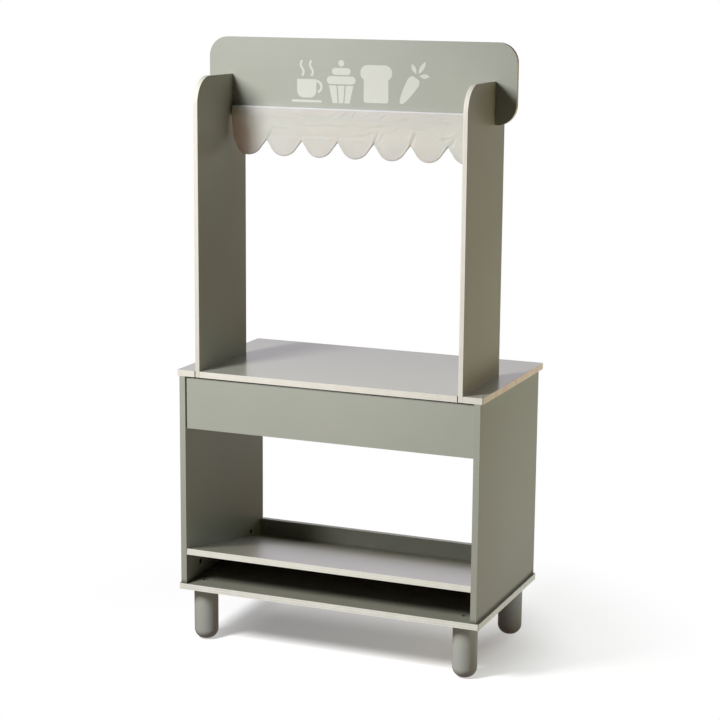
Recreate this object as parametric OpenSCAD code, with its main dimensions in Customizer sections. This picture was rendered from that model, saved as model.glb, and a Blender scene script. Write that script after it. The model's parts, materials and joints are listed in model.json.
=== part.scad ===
// Toy market stall: a counter on round legs with a sloping display shelf, two tall posts, a sign board
// that drops into slots in the posts, and a scalloped cloth valance on a batten.
// Millimetres, +Z up, front towards -Y, origin on the floor under the middle of the counter.

/* [Carcass] */
// Width of the counter and of the base board
counter_w = 630; // [560:5:760]
// Depth of the base board and of the side panels
base_d = 352; // [320:2:420]
// How far the counter reaches past the side panels at the rear
rear_overhang = 14; // [4:1:30]
// How far the counter and the base reach past the side panels at each end
end_overhang = 5; // [1:0.5:12]
// Thickness of the counter, base, side, apron, rail and shelf boards
board_t = 12; // [10:0.5:18]
// Height of the side panels
side_h = 421; // [380:1:500]
// Corner radius of the counter and of the base board, seen from above
corner_r = 3; // [1:0.5:6]

/* [Legs] */
// Height of a leg
leg_h = 108; // [80:1:150]
// Diameter of a leg
leg_d = 48; // [44:1:56]
// Radius of the rounded foot of a leg
leg_round = 20; // [10:0.5:20]
// Distance from the edges of the base board to the axis of a leg
leg_inset = 40; // [32:1:50]

/* [Apron] */
// Height of the front apron
apron_h = 101; // [90:1:130]
// How far the apron lies behind the front edges of the side panels
apron_recess = 4; // [1:0.5:10]
// Shadow gap between the apron and the counter
apron_top_gap = 3; // [1:0.5:6]
// Gap between each end of the apron and a side panel
apron_end_gap = 1.5; // [0.5:0.25:3]

/* [Shelf and rail] */
// Slope of the shelf, down towards the rear
shelf_tilt = 10.2; // [7:0.1:13]
// Height of the rear rail
rail_h = 46; // [44:1:70]
// Gap between the ends of the shelf or rail and a side panel
shelf_end_gap = 0.5; // [0.25:0.25:1.5]

/* [Posts] */
// Height of the posts above the counter
post_h = 566; // [480:1:640]
// Depth of a post, front to rear
post_d = 208; // [190:1:240]
// Thickness of a post
post_t = 9; // [8:0.5:14]
// Distance from the end of the counter to the outer face of a post
post_inset = 40; // [36:1:70]
// Radius of the upper front corner of a post
post_front_round = 52; // [30:1:70]
// Radius of the upper rear corner of a post
post_rear_round = 30; // [10:1:34]
// How far a post's tongue reaches below the counter
tongue_h = 88; // [60:1:90]
// Free width left beside a post in its counter slot
slot_gap = 1.8; // [0.5:0.1:3]

/* [Sign] */
// Height of the sign board
sign_h = 152; // [130:1:200]
// Thickness of the sign board
sign_t = 9; // [8:0.5:14]
// How far the sign reaches past each post
sign_overhang = 41; // [34:1:70]
// Corner radius of the sign board
sign_round = 38; // [20:1:40]
// Distance from the front edges of the posts to the front of the sign
sign_setback = 152; // [130:1:155]
// How far the sign reaches down between the tops of the posts
sign_lap = 81; // [60:1:100]
// Free width on each side of a board in a lap slot
lap_gap = 0.3; // [0.2:0.05:0.6]

/* [Valance] */
// Number of scallops
scallops = 7; // [5:1:9]
// Height of the pocket that holds the batten
pocket_h = 19; // [16:0.5:26]
// Depth of the pocket, front to rear
pocket_d = 12; // [9:0.5:16]
// Height of the pocket's underside above the lower edge of the sign
pocket_rise = 1; // [0:0.5:10]
// Length of the cloth from the pocket down to the points between scallops
flap_h = 44; // [30:1:60]
// Height of a scallop below the points
scallop_h = 30; // [24:0.5:36]
// Slope of a scallop's flanks from the horizontal
flank_angle = 54; // [52:1:60]
// Thickness of the cloth
cloth_t = 1; // [0.6:0.1:1.4]
// Gap between the valance and each post
valance_side_gap = 3.5; // [2:0.25:8]
// How far the middle of a scallop hangs forward
belly_d = 5; // [2:0.5:8]
// Depth of the slanting drag folds
fold_d = 3; // [1:0.25:4]
// Width of a drag fold
fold_w = 11; // [9:0.5:16]

/* [Fixings] */
// Diameter of the connector bolts
bolt_d = 6; // [5:0.5:7]
// Diameter of a bolt head
bolt_head_d = 10; // [9:0.5:12]
// Height of a bolt head
bolt_head_h = 5; // [4:0.25:6]
// Width of the hexagon socket in a bolt head, corner to corner
bolt_socket_d = 4.6; // [4:0.1:6]
// Diameter of the sunk hole around a bolt head
bolt_recess_d = 14; // [13:0.5:16]
// Depth of the sunk hole for a bolt head
bolt_recess_h = 6.5; // [6.5:0.25:7.5]
// Diameter of a barrel nut
nut_d = 10; // [9:0.5:12]
// Height of the barrel nuts above the base board
nut_rise = 30; // [24:1:40]
// Distance of the barrel nuts from the front and rear edges of a side panel
nut_inset = 60; // [50:1:80]
// Diameter of the threaded insert in a leg
insert_d = 10; // [9:0.5:14]
// Length of the threaded insert in a leg
insert_h = 24; // [18:1:40]
// Diameter of the wooden dowels
dowel_d = 6; // [5:0.5:8]
// Length of a dowel inside the end of a board
dowel_l = 22; // [14:1:28]
// Diameter of a cam lock
cam_d = 13; // [12:0.5:15]
// Distance from a cam lock's axis to the joint that it closes
cam_reach = 26; // [22:1:32]
// Diameter of a cam pin's shank
pin_d = 5; // [4:0.5:6]
// Distance of the counter's cam locks from the edges of a side panel
cam_inset = 90; // [80:1:110]
// Length of each arm of a post bracket
bracket_l = 34; // [28:1:44]
// Width of a post bracket
bracket_w = 24; // [18:1:36]
// Thickness of a post bracket
bracket_t = 2; // [1.5:0.25:3]
// Diameter of the wood screws
screw_d = 3.5; // [3:0.25:4.5]
// Diameter of a wood screw's head
screw_head_d = 7; // [6:0.25:8]
// Height of a wood screw's head
screw_head_h = 2.2; // [1.5:0.1:3]

/* [Hidden] */
$fn = 48;

// Finishes
sage = [0.62, 0.63, 0.56];
sage_dark = [0.55, 0.56, 0.5];
canvas = [0.88, 0.85, 0.79];
beech = [0.86, 0.74, 0.56];
steel = [0.72, 0.73, 0.74];

// Overrun of every cut, the play of a part in its hole and the skin left behind a blind hole
overrun = 1;
play = 0.1;
blind_skin = 2.5;
blind_h = board_t - blind_skin;

// Heights of the carcass
base_top = leg_h + board_t;
side_top = base_top + side_h;
counter_z = side_top + board_t;

// Plan of the carcass
counter_d = base_d + rear_overhang;
front_y = -counter_d / 2;
rear_y = front_y + base_d;
side_x = counter_w / 2 - end_overhang;
inner_x = side_x - board_t;
side_mid_x = side_x - board_t / 2;
leg_xs = [-counter_w / 2 + leg_inset, counter_w / 2 - leg_inset];
leg_ys = [front_y + leg_inset, rear_y - leg_inset];
nut_ys = [front_y + nut_inset, rear_y - nut_inset];
cam_ys = [front_y + cam_inset, rear_y - cam_inset];

// Fixing places
nut_z = base_top + nut_rise;
bolt_tail = nut_d;
leg_bolt_h = board_t - bolt_recess_h + insert_h - bolt_d;
dowel_pitch_share = 0.3;
counter_dowel_shares = [0.14, 0.5, 0.86];
shelf_dowel_shares = [0.28, 0.82];
pin_head_d = pin_d + 2 * play;
pin_neck_d_share = 0.7;
pin_neck_h_share = 0.3;
cam_slot_gap = 0.4;
cam_slot_d = pin_d + 2 * cam_slot_gap;
screw_socket_share = 0.8;
bracket_hole_share = 0.6;

// Apron, rail and shelf
apron_y = front_y + apron_recess + board_t / 2;
apron_z = side_top - apron_top_gap - apron_h;
apron_mid_z = apron_z + apron_h / 2;
rail_y = rear_y - board_t / 2;
rail_mid_z = base_top + rail_h / 2;
shelf_rear_y = rear_y - board_t - shelf_end_gap - board_t * sin(shelf_tilt);
shelf_l = (shelf_rear_y - front_y) / cos(shelf_tilt);

// Posts
post_out_x = counter_w / 2 - post_inset;
post_mid_x = post_out_x - post_t / 2;
post_in_x = post_out_x - post_t;
post_top = counter_z + post_h;
post_rear_y = front_y + post_d;
tongue_front_y = apron_y + board_t / 2 + lap_gap;
tongue_mid_y = (tongue_front_y + post_rear_y) / 2;
bracket_hole = bracket_hole_share * bracket_l;

// Sign
sign_w = 2 * (post_out_x + sign_overhang);
sign_front_y = front_y + sign_setback;
sign_mid_y = sign_front_y + sign_t / 2;
sign_z = post_top - sign_lap;
lap_z = sign_z + sign_lap / 2;

// Valance
cloth_gap = 0.3;
seam_gap = 0.8;
valance_w = 2 * (post_in_x - valance_side_gap);
scallop_w = valance_w / scallops;
pocket_z = sign_z + pocket_rise;
pocket_front_y = sign_front_y - cloth_gap - pocket_d;
pocket_mid_y = pocket_front_y + pocket_d / 2;
batten_d = pocket_d - 2 * (cloth_t + cloth_gap);
batten_h = pocket_h - 2 * (cloth_t + cloth_gap);
batten_front_y = pocket_mid_y - batten_d / 2;
batten_screw_shares = [-0.38, -0.13, 0.13, 0.38];
batten_screw_z = pocket_z + pocket_h / 2;
batten_reach = sign_t - screw_head_h + 2 * cloth_gap + cloth_t;
batten_screw_h = batten_reach + batten_d - blind_skin;
flap_top = pocket_z - seam_gap;
flap_mid_y = pocket_front_y + cloth_t / 2;
scallop_columns = 10;
flap_columns = scallop_columns * scallops;
flap_rows = 6;
belly_power = 1.6;
flank_drop = scallop_w / 2 * tan(flank_angle);
tip_r = (flank_drop - scallop_h) / (sin(flank_angle) * tan(flank_angle) - 1 + cos(flank_angle));
tip_half_w = tip_r * sin(flank_angle);

// Drag folds that rise from the points between scallops: point number, lean and depth as shares
fold_points = [4, 5, 6];
fold_lean_shares = [0.35, 0.5, 0.4];
fold_depth_shares = [0.8, 1, 0.7];

// Plain shapes

module rounded_rect(w, d, r) {
    square([w - 2 * r, d], center = true);
    square([w, d - 2 * r], center = true);
    for (sx = [-1, 1]) {
        for (sy = [-1, 1]) {
            translate([sx * (w / 2 - r), sy * (d / 2 - r)])
                circle(r);
        }
    }
}

module rod(d, h) {
    cylinder(d = d, h = h);
}

module blind_hole(d, h) {
    translate([0, 0, -overrun])
        rod(d + 2 * play, h + overrun);
}

// Bolt with its head up and its shank down, the underside of the head at zero
module bolt(shank_h) {
    difference() {
        rod(bolt_head_d, bolt_head_h);
        translate([0, 0, bolt_head_h / 2])
            cylinder(d = bolt_socket_d, h = bolt_head_h, $fn = 6);
    }
    translate([0, 0, -shank_h])
        rod(bolt_d, shank_h);
}

// Wood screw with its head up, the underside of the head at zero
module wood_screw(shank_h) {
    difference() {
        rod(screw_head_d, screw_head_h);
        translate([0, 0, screw_head_h / 2])
            cylinder(d = screw_socket_share * screw_d, h = screw_head_h, $fn = 6);
    }
    translate([0, 0, -shank_h])
        rod(screw_d, shank_h);
}

// Cam pin along Z with the joint at zero: its thread above, its shank, neck and head below
module cam_pin() {
    neck_h = pin_neck_h_share * cam_d;
    translate([0, 0, -cam_reach + neck_h / 2])
        rod(pin_d, cam_reach - neck_h / 2 + blind_h - play);
    translate([0, 0, -cam_reach - neck_h / 2])
        rod(pin_neck_d_share * pin_d, neck_h);
    translate([0, 0, -cam_reach - neck_h])
        rod(pin_head_d, neck_h / 2);
}

module cam_pin_hole() {
    rotate([180, 0, 0])
        translate([0, 0, -blind_h])
            rod(pin_d + 2 * play, blind_h + overrun);
}

// Bore for a pin's shank and the pocket for its cam, open towards +X of a board of the carcass
module cam_pocket() {
    translate([0, 0, -cam_reach - cam_d / 2])
        rod(cam_slot_d, cam_reach + cam_d / 2 + overrun);
    translate([board_t / 2 - blind_h, 0, -cam_reach])
        rotate([0, 90, 0])
            rod(cam_d + 2 * play, blind_h + overrun);
}

module cam_lock() {
    difference() {
        translate([board_t / 2 - blind_h + play, 0, -cam_reach])
            rotate([0, 90, 0])
                rod(cam_d, blind_h - play);
        translate([0, 0, -cam_reach - cam_d])
            rod(cam_slot_d, 2 * cam_d);
        translate([board_t / 2 - bolt_socket_d / 2, 0, -cam_reach])
            rotate([0, 90, 0])
                cylinder(d = bolt_socket_d, h = bolt_socket_d, $fn = 6);
    }
}

// Dowel along Z across a joint at zero: a blind length above and a longer one below
module dowel() {
    translate([0, 0, -dowel_l])
        rod(dowel_d, dowel_l + blind_h - play);
}

module dowel_hole_above() {
    rotate([180, 0, 0])
        translate([0, 0, -blind_h])
            rod(dowel_d + 2 * play, blind_h + overrun);
}

module dowel_hole_below() {
    translate([0, 0, -dowel_l - play])
        rod(dowel_d + 2 * play, dowel_l + play + overrun);
}

// Places of the fixings: local +Z points into the board that takes the blind end

module at_leg_axes() {
    for (x = leg_xs) {
        for (y = leg_ys) {
            translate([x, y, 0])
                children();
        }
    }
}

module at_base_bolts(sides = [-1, 1]) {
    for (sx = sides) {
        for (y = nut_ys) {
            translate([sx * side_mid_x, y, 0])
                children();
        }
    }
}

module at_barrel_nuts(sides = [-1, 1]) {
    for (sx = sides) {
        for (y = nut_ys) {
            translate([sx * inner_x, y, nut_z])
                rotate([0, sx * 90, 0])
                    children();
        }
    }
}

module at_counter_cams(sides = [-1, 1]) {
    for (sx = sides) {
        for (y = cam_ys) {
            translate([sx * side_mid_x, y, side_top])
                rotate([0, 0, sx > 0 ? 180 : 0])
                    children();
        }
    }
}

module at_counter_dowels(sides = [-1, 1]) {
    for (sx = sides) {
        for (s = counter_dowel_shares) {
            translate([sx * side_mid_x, front_y + s * base_d, side_top])
                children();
        }
    }
}

module at_board_ends(y, z, sides = [-1, 1]) {
    for (sx = sides) {
        translate([sx * inner_x, y, z])
            rotate([sx * 90, 0, 90])
                children();
    }
}

module at_end_dowels(y, z, h, sides = [-1, 1]) {
    for (s = [-1, 1]) {
        at_board_ends(y, z + s * h * dowel_pitch_share, sides)
            children();
    }
}

module shelf_frame() {
    translate([0, shelf_rear_y, base_top])
        rotate([-shelf_tilt, 0, 0])
            children();
}

module at_shelf_dowels(sides = [-1, 1]) {
    shelf_frame() {
        for (s = shelf_dowel_shares) {
            at_board_ends(-s * shelf_l, board_t / 2, sides)
                children();
        }
    }
}

module at_posts() {
    for (sx = [-1, 1]) {
        translate([sx * post_mid_x, 0, 0])
            children();
    }
}

// Screws of the post brackets: into the tongue and up into the counter
module at_tongue_screws() {
    for (sx = [-1, 1]) {
        translate([sx * (post_in_x - bracket_t), tongue_mid_y, side_top - bracket_hole])
            rotate([0, -sx * 90, 0])
                children();
    }
}

module at_bracket_counter_screws() {
    for (sx = [-1, 1]) {
        translate([sx * (post_in_x - bracket_hole), tongue_mid_y, side_top - bracket_t])
            rotate([180, 0, 0])
                children();
    }
}

module at_batten_screws() {
    for (s = batten_screw_shares) {
        translate([s * valance_w, sign_front_y + sign_t - screw_head_h, batten_screw_z])
            rotate([-90, 0, 0])
                children();
    }
}

// Carcass

module base_board() {
    color(sage)
    difference() {
        translate([0, front_y + base_d / 2, leg_h])
            linear_extrude(board_t)
                rounded_rect(counter_w, base_d, corner_r);
        at_leg_axes() {
            translate([0, 0, leg_h - overrun])
                rod(bolt_d + 2 * play, board_t + 2 * overrun);
            translate([0, 0, base_top - bolt_recess_h])
                rod(bolt_recess_d, bolt_recess_h + overrun);
        }
        at_base_bolts() {
            translate([0, 0, leg_h - overrun])
                rod(bolt_d + 2 * play, board_t + 2 * overrun);
            translate([0, 0, leg_h - overrun])
                rod(bolt_recess_d, bolt_recess_h + overrun);
        }
    }
}

module side_panel(side) {
    color(sage)
    difference() {
        translate([side * side_mid_x - board_t / 2, front_y, base_top])
            cube([board_t, base_d, side_h]);
        at_base_bolts([side])
            translate([0, 0, base_top])
                blind_hole(bolt_d, nut_rise + bolt_tail);
        at_barrel_nuts([side])
            blind_hole(nut_d, blind_h);
        at_counter_cams([side])
            cam_pocket();
        at_counter_dowels([side])
            dowel_hole_below();
        at_board_ends(apron_y, apron_mid_z, [side])
            cam_pin_hole();
        at_end_dowels(apron_y, apron_mid_z, apron_h, [side])
            dowel_hole_above();
        at_board_ends(rail_y, rail_mid_z, [side])
            cam_pin_hole();
        at_end_dowels(rail_y, rail_mid_z, rail_h, [side])
            dowel_hole_above();
        at_shelf_dowels([side])
            dowel_hole_above();
    }
}

module left_side_panel() {
    side_panel(-1);
}

module right_side_panel() {
    side_panel(1);
}

module front_apron() {
    color(sage)
    difference() {
        translate([-inner_x + apron_end_gap, apron_y - board_t / 2, apron_z])
            cube([2 * (inner_x - apron_end_gap), board_t, apron_h]);
        at_board_ends(apron_y, apron_mid_z)
            cam_pocket();
        at_end_dowels(apron_y, apron_mid_z, apron_h)
            dowel_hole_below();
    }
}

module rear_rail() {
    color(sage)
    difference() {
        translate([-inner_x + shelf_end_gap, rail_y - board_t / 2, base_top])
            cube([2 * (inner_x - shelf_end_gap), board_t, rail_h]);
        at_board_ends(rail_y, rail_mid_z)
            cam_pocket();
        at_end_dowels(rail_y, rail_mid_z, rail_h)
            dowel_hole_below();
    }
}

module shelf() {
    color(sage)
    difference() {
        shelf_frame()
            translate([-inner_x + shelf_end_gap, -shelf_l, 0])
                cube([2 * (inner_x - shelf_end_gap), shelf_l, board_t]);
        at_shelf_dowels()
            dowel_hole_below();
    }
}

module counter_top() {
    color(sage)
    difference() {
        translate([0, 0, side_top])
            linear_extrude(board_t)
                rounded_rect(counter_w, counter_d, corner_r);
        at_posts()
            translate([-post_t / 2 - slot_gap, front_y - overrun, side_top - overrun])
                cube([post_t + slot_gap, post_d + lap_gap + overrun, board_t + 2 * overrun]);
        at_counter_cams()
            cam_pin_hole();
        at_counter_dowels()
            dowel_hole_above();
        at_bracket_counter_screws()
            translate([0, 0, -bracket_t - blind_h])
                rod(screw_d + 2 * play, bracket_t + blind_h);
    }
}

// Posts

module post_outline() {
    difference() {
        translate([front_y, counter_z])
            square([post_d, post_h]);
        translate([front_y - overrun, post_top - post_front_round])
            square(post_front_round + overrun);
        translate([post_rear_y - post_rear_round, post_top - post_rear_round])
            square(post_rear_round + overrun);
    }
    translate([front_y + post_front_round, post_top - post_front_round])
        circle(post_front_round);
    translate([post_rear_y - post_rear_round, post_top - post_rear_round])
        circle(post_rear_round);
    translate([front_y, side_top])
        square([post_d, board_t + overrun]);
    translate([tongue_front_y, side_top - tongue_h])
        square([post_rear_y - tongue_front_y, tongue_h + overrun]);
}

module post(side) {
    color(sage_dark)
    difference() {
        translate([side * post_mid_x - post_t / 2, 0, 0])
            rotate([90, 0, 90])
                linear_extrude(post_t)
                    post_outline();
        translate([side * post_mid_x - post_t, sign_front_y - lap_gap, lap_z])
            cube([2 * post_t, sign_t + 2 * lap_gap, sign_lap]);
        at_tongue_screws()
            translate([0, 0, -bracket_t - post_t + blind_skin])
                rod(screw_d + 2 * play, bracket_t + post_t - blind_skin);
    }
}

module left_post() {
    post(-1);
}

module right_post() {
    post(1);
}

// Legs

module leg(x, y) {
    color(sage)
    difference() {
        translate([x, y, 0])
            rotate_extrude() {
                translate([0, leg_round])
                    square([leg_d / 2, leg_h - leg_round]);
                square([leg_d / 2 - leg_round, leg_round]);
                intersection() {
                    translate([leg_d / 2 - leg_round, leg_round])
                        circle(leg_round);
                    square([leg_d / 2, leg_h]);
                }
            }
        translate([x, y, leg_h])
            rotate([180, 0, 0])
                blind_hole(insert_d, insert_h + bolt_d);
    }
}

module front_left_leg() {
    leg(leg_xs[0], leg_ys[0]);
}

module front_right_leg() {
    leg(leg_xs[1], leg_ys[0]);
}

module rear_left_leg() {
    leg(leg_xs[0], leg_ys[1]);
}

module rear_right_leg() {
    leg(leg_xs[1], leg_ys[1]);
}

// Fixings

module leg_bolts() {
    color(steel)
    at_leg_axes()
        translate([0, 0, base_top - bolt_recess_h])
            bolt(leg_bolt_h);
}

module leg_inserts() {
    color(steel)
    at_leg_axes()
        translate([0, 0, leg_h - insert_h])
            difference() {
                rod(insert_d, insert_h);
                translate([0, 0, -overrun])
                    rod(bolt_d + 2 * play, insert_h + 2 * overrun);
            }
}

module base_bolts() {
    color(steel)
    at_base_bolts()
        translate([0, 0, leg_h + bolt_recess_h])
            rotate([180, 0, 0])
                bolt(board_t - bolt_recess_h + nut_rise + bolt_tail - play);
}

module barrel_nuts() {
    color(steel)
    difference() {
        at_barrel_nuts()
            rod(nut_d, blind_h - play);
        at_base_bolts()
            translate([0, 0, base_top])
                rod(bolt_d + 2 * play, nut_rise + nut_d);
    }
}

module cam_pins() {
    color(steel) {
        at_counter_cams()
            cam_pin();
        at_board_ends(apron_y, apron_mid_z)
            cam_pin();
        at_board_ends(rail_y, rail_mid_z)
            cam_pin();
    }
}

module cam_locks() {
    color(steel) {
        at_counter_cams()
            cam_lock();
        at_board_ends(apron_y, apron_mid_z)
            cam_lock();
        at_board_ends(rail_y, rail_mid_z)
            cam_lock();
    }
}

module apron_dowels() {
    color(beech)
    at_end_dowels(apron_y, apron_mid_z, apron_h)
        dowel();
}

module rail_dowels() {
    color(beech)
    at_end_dowels(rail_y, rail_mid_z, rail_h)
        dowel();
}

module shelf_dowels() {
    color(beech)
    at_shelf_dowels()
        dowel();
}

module counter_dowels() {
    color(beech)
    at_counter_dowels()
        dowel();
}

module post_brackets() {
    color(steel)
    difference() {
        for (sx = [-1, 1]) {
            translate([sx * post_in_x, tongue_mid_y - bracket_w / 2, side_top])
                mirror([sx > 0 ? 1 : 0, 0, 0])
                    rotate([-90, 0, 0]) {
                        cube([bracket_l, bracket_t, bracket_w]);
                        cube([bracket_t, bracket_l, bracket_w]);
                    }
        }
        at_tongue_screws()
            translate([0, 0, -bracket_t - overrun])
                rod(screw_d + 2 * play, bracket_t + 2 * overrun);
        at_bracket_counter_screws()
            translate([0, 0, -bracket_t - overrun])
                rod(screw_d + 2 * play, bracket_t + 2 * overrun);
    }
}

module bracket_screws() {
    color(steel) {
        at_tongue_screws()
            wood_screw(bracket_t + post_t - blind_skin - play);
        at_bracket_counter_screws()
            wood_screw(bracket_t + blind_h - play);
    }
}

// Sign and valance

module sign_board() {
    color(sage)
    difference() {
        translate([0, sign_front_y + sign_t, sign_z + sign_h / 2])
            rotate([90, 0, 0])
                linear_extrude(sign_t)
                    rounded_rect(sign_w, sign_h, sign_round);
        at_posts()
            translate([-post_t / 2 - lap_gap, sign_front_y - overrun, sign_z - overrun])
                cube([post_t + 2 * lap_gap, sign_t + 2 * overrun, sign_lap / 2 + overrun]);
        at_batten_screws() {
            translate([0, 0, -sign_t])
                rod(screw_d + 2 * play, sign_t + overrun);
            rod(screw_head_d + 2 * play, screw_head_h + overrun);
        }
    }
}

module valance_batten() {
    color(beech)
    difference() {
        translate([-valance_w / 2, batten_front_y, pocket_z + cloth_t + cloth_gap])
            cube([valance_w, batten_d, batten_h]);
        at_batten_screws()
            translate([0, 0, -batten_screw_h - play])
                rod(screw_d + 2 * play, batten_screw_h + play);
    }
}

module batten_screws() {
    color(steel)
    at_batten_screws()
        wood_screw(batten_screw_h);
}

module valance_pocket() {
    color(canvas)
    difference() {
        translate([-valance_w / 2, pocket_front_y, pocket_z])
            cube([valance_w, pocket_d, pocket_h]);
        translate([-valance_w / 2 - overrun, pocket_front_y + cloth_t, pocket_z + cloth_t])
            cube([valance_w + 2 * overrun, pocket_d - 2 * cloth_t, pocket_h - 2 * cloth_t]);
        at_batten_screws()
            translate([0, 0, -batten_reach])
                rod(screw_d + 2 * play, batten_reach);
    }
}

// Middle of the scallop at width x, and the height of the cloth's edge below the points at distance d from it
function belly_x(x) =
    let (i = floor(min(scallops - 1, (x + valance_w / 2) / scallop_w)))
    (i + 1 / 2) * scallop_w - valance_w / 2;
function edge_fall(d) =
    d < tip_half_w
        ? scallop_h - tip_r + sqrt(tip_r * tip_r - d * d)
        : max(0, (scallop_w / 2 - d) * tan(flank_angle));

// Forward swing of the cloth at width x and share s of the way down
function fold_swing(x, s, i) =
    let (centre = -valance_w / 2 + fold_points[i] * scallop_w + fold_lean_shares[i] * flap_h * (1 - s))
    fold_d * fold_depth_shares[i] * sin(180 * sqrt(s)) * exp(-pow((x - centre) / fold_w, 2));
function sum(values) = values * [for (v = values) 1];
function swing(x, s) =
    let (d = abs(x - belly_x(x)) / (scallop_w / 2))
    belly_d * pow(s, belly_power) * cos(90 * d)
        + sum([for (i = [0 : len(fold_points) - 1]) fold_swing(x, s, i) - fold_swing(x - fold_w, s, i) / 2]);

function flap_point(i, j, back) =
    let (
        x = -valance_w / 2 + valance_w * i / flap_columns,
        s = j / flap_rows,
        fall = flap_h + edge_fall(abs(x - belly_x(x)))
    )
    [x, flap_mid_y - swing(x, s) + (back - 1 / 2) * cloth_t, flap_top - s * fall];

module valance_flap() {
    row = flap_rows + 1;
    sheet = row * (flap_columns + 1);
    points = [
        for (back = [0, 1]) for (i = [0 : flap_columns]) for (j = [0 : flap_rows]) flap_point(i, j, back)
    ];
    front = [
        for (i = [0 : flap_columns - 1]) for (j = [0 : flap_rows - 1])
            let (a = i * row + j)
            each [[a, a + 1, a + row + 1], [a, a + row + 1, a + row]]
    ];
    rear = [for (f = front) [f[2] + sheet, f[1] + sheet, f[0] + sheet]];
    ends = [
        for (j = [0 : flap_rows - 1])
            let (a = j, b = flap_columns * row + j)
            each [
                [a, a + sheet, a + sheet + 1], [a, a + sheet + 1, a + 1],
                [b, b + sheet + 1, b + sheet], [b, b + 1, b + sheet + 1]
            ]
    ];
    rims = [
        for (i = [0 : flap_columns - 1])
            let (a = i * row, b = i * row + flap_rows)
            each [
                [a, a + row, a + row + sheet], [a, a + row + sheet, a + sheet],
                [b, b + sheet, b + row + sheet], [b, b + row + sheet, b + row]
            ]
    ];
    color(canvas)
    polyhedron(points, concat(front, rear, ends, rims));
}

base_board();
left_side_panel();
right_side_panel();
front_apron();
rear_rail();
shelf();
counter_top();
left_post();
right_post();
front_left_leg();
front_right_leg();
rear_left_leg();
rear_right_leg();
leg_bolts();
leg_inserts();
base_bolts();
barrel_nuts();
cam_pins();
cam_locks();
apron_dowels();
rail_dowels();
shelf_dowels();
counter_dowels();
post_brackets();
bracket_screws();
sign_board();
valance_batten();
batten_screws();
valance_pocket();
valance_flap();
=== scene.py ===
import json
import math

import bpy
from mathutils import Matrix, Vector, noise


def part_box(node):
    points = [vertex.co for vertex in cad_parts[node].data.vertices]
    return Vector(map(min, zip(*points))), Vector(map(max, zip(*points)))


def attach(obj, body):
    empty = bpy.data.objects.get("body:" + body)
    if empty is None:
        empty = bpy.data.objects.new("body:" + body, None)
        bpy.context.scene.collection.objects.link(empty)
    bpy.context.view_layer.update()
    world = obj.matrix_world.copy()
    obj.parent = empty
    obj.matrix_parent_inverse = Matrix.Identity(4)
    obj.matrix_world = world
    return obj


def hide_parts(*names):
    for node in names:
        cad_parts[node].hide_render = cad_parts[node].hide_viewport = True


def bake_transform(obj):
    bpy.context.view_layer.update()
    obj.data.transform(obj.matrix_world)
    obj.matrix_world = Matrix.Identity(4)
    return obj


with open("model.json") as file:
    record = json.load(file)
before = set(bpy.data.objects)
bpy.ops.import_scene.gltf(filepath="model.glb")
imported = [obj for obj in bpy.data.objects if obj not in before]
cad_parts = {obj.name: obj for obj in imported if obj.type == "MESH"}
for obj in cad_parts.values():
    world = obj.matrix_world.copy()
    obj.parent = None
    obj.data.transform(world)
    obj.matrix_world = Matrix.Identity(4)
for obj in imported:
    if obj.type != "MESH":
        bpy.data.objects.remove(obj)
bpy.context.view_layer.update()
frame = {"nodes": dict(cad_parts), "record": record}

MM = 0.001
UP = (0, 0, 1)
RIGHT = (1, 0, 0)
BACK = (0, 1, 0)
FORWARD = (0, -1, 0)


# Shader arithmetic

class Field:
    """A shader socket's value over a surface, written as plain arithmetic."""

    def __init__(self, finish, socket):
        self.finish = finish
        self.socket = socket

    def math(self, operation, *others):
        return self.finish.math(operation, self, *others)

    def __add__(self, other):
        return self.math("ADD", other)

    def __sub__(self, other):
        return self.math("SUBTRACT", other)

    def __rsub__(self, other):
        return self.finish.math("SUBTRACT", other, self)

    def __mul__(self, other):
        return self.math("MULTIPLY", other)

    def __truediv__(self, other):
        return self.math("DIVIDE", other)

    def __rtruediv__(self, other):
        return self.finish.math("DIVIDE", other, self)

    def __pow__(self, other):
        return self.math("POWER", other)

    def __mod__(self, other):
        return self.math("FLOORED_MODULO", other)

    def __abs__(self):
        return self.math("ABSOLUTE")

    __radd__ = __add__
    __rmul__ = __mul__

    def wave(self, pitch):
        """A sine of this length, from -1 to 1."""
        return (self * (2 * math.pi / pitch)).math("SINE")

    def step(self, low, high):
        """0 below low, 1 above high and smooth between them."""
        inputs = {"Value": self, "From Min": low, "From Max": high}
        return self.finish.node("ShaderNodeMapRange", {"interpolation_type": "SMOOTHSTEP"}, inputs)

    def part(self, name):
        return self.finish.node("ShaderNodeSeparateXYZ", {}, {0: self}, name)

    def along(self, direction):
        settings = {"operation": "DOT_PRODUCT"}
        return self.finish.node("ShaderNodeVectorMath", settings, {0: self, 1: direction}, "Value")

    def stretched(self, scale):
        settings = {"operation": "MULTIPLY"}
        return self.finish.node("ShaderNodeVectorMath", settings, {0: self, 1: scale})

    def choose(self, low, high):
        """The colour low where this is 0 and high where it is 1."""
        inputs = {0: self, 6: low, 7: high}
        return self.finish.node("ShaderNodeMix", {"data_type": "RGBA"}, inputs, 2)


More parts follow.
